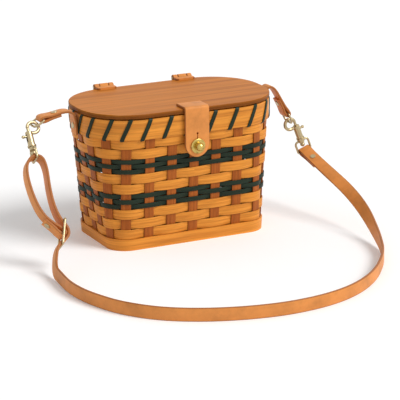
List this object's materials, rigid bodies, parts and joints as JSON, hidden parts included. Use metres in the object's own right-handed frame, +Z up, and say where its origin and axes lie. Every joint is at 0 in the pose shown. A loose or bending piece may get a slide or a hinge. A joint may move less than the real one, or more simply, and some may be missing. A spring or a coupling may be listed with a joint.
{
  "type": "basket purse",
  "caption": "Oval flat-reed basket purse with a hinged board lid, a leather tab on a brass stud and a leather shoulder strap held by swivel snap hooks.",
  "frame": {"origin": "centre of the basket's underside, on the floor", "axes": "+Z up, +X along the basket's length, the front with the closure tab faces -Y"},
  "size_m": [0.3257, 0.3378, 0.1362],
  "materials": {
    "board_wood": "clear satin",
    "weave": "dyed and plain flat reed, satin",
    "rim_wood": "clear satin",
    "green_reed": "dyed reed, satin",
    "leather": "smooth vegetable-tanned",
    "antique_brass": "antiqued",
    "polished_brass": "polished"
  },
  "bodies": {
    "basket": {"base_board": "board_wood", "woven_wall": "weave", "base_band": "rim_wood", "rim_outer": "rim_wood", "rim_inner": "rim_wood", "rim_lashing": "green_reed", "stud": "polished_brass", "stud_washer": "polished_brass", "hinge_lower_left": "leather", "hinge_lower_right": "leather", "hinge_pin_left": "antique_brass", "hinge_pin_right": "antique_brass", "hinge_rim_rivets": "antique_brass", "ear_left": "leather", "ear_right": "leather", "ear_rim_rivets": "antique_brass", "ear_fold_rivets": "antique_brass", "strap_fold": "leather", "strap_run": "leather", "strap_loop": "leather", "slide_buckle": "antique_brass", "strap_rivets": "antique_brass"},
    "lid": {"lid_board": "board_wood", "hinge_upper_left": "leather", "hinge_upper_right": "leather", "closure_tab_top": "leather"},
    "closure_tab": {"closure_tab_flap": "leather"},
    "ring_left": {"d_ring_left": "antique_brass"},
    "hook_left": {"snap_hook_left": "antique_brass", "bolt_spring_left": "antique_brass"},
    "bolt_left": {"snap_bolt_left": "antique_brass"},
    "eye_left": {"swivel_eye_left": "antique_brass"},
    "ring_right": {"d_ring_right": "antique_brass"},
    "hook_right": {"snap_hook_right": "antique_brass", "bolt_spring_right": "antique_brass"},
    "bolt_right": {"snap_bolt_right": "antique_brass"},
    "eye_right": {"swivel_eye_right": "antique_brass"}
  },
  "joints": [
    {"name": "lid_hinge", "type": "hinge", "parent": "basket", "child": "lid", "pos_m": [0, 0.0614, 0.13295], "axis": [-1, 0, 0], "range_deg": [0, 105], "deforming": ["closure_tab_flap"]},
    {"name": "tab_bend", "type": "hinge", "parent": "lid", "child": "closure_tab", "pos_m": [0, -0.05815, 0.13225], "axis": [-1, 0, 0], "range_deg": [0, 80], "deforming": ["closure_tab_flap"]},
    {"name": "ring_left_swing", "type": "hinge", "parent": "basket", "child": "ring_left", "pos_m": [-0.1315, 0, 0.125], "axis": [0, 1, 0], "range_deg": [-3, 3], "deforming": ["strap_loop"]},
    {"name": "hook_left_pivot", "type": "hinge", "parent": "ring_left", "child": "hook_left", "pos_m": [-0.14049, 0, 0.11938], "axis": [0, 1, 0], "range_deg": [-3, 3], "deforming": ["strap_loop"]},
    {"name": "eye_left_swivel", "type": "hinge", "parent": "hook_left", "child": "eye_left", "pos_m": [-0.14669, -0.01645, 0.09858], "axis": [0.03, 0.62, 0.784], "range_deg": [-10, 10], "deforming": ["strap_loop"]},
    {"name": "bolt_left_slide", "type": "slide", "parent": "hook_left", "child": "bolt_left", "axis": [-0.03, -0.62, -0.784], "range_m": [0, 0.0042], "stiffness_N_per_m": 300, "springref_m": -0.002, "deforming": ["bolt_spring_left"]},
    {"name": "ring_right_swing", "type": "hinge", "parent": "basket", "child": "ring_right", "pos_m": [0.125, 0, 0.1], "axis": [0, 1, 0], "range_deg": [-3, 3], "deforming": ["strap_fold"]},
    {"name": "hook_right_pivot", "type": "hinge", "parent": "ring_right", "child": "hook_right", "pos_m": [0.12914, 0, 0.09024], "axis": [0, 1, 0], "range_deg": [-3, 3], "deforming": ["strap_fold"]},
    {"name": "eye_right_swivel", "type": "hinge", "parent": "hook_right", "child": "eye_right", "pos_m": [0.14404, 0, 0.06639], "axis": [-0.357, 0, 0.9341], "range_deg": [-10, 10], "deforming": ["strap_fold"]},
    {"name": "bolt_right_slide", "type": "slide", "parent": "hook_right", "child": "bolt_right", "axis": [0.357, 0, -0.9341], "range_m": [0, 0.0042], "stiffness_N_per_m": 300, "springref_m": -0.002, "deforming": ["bolt_spring_right"]}
  ]
}
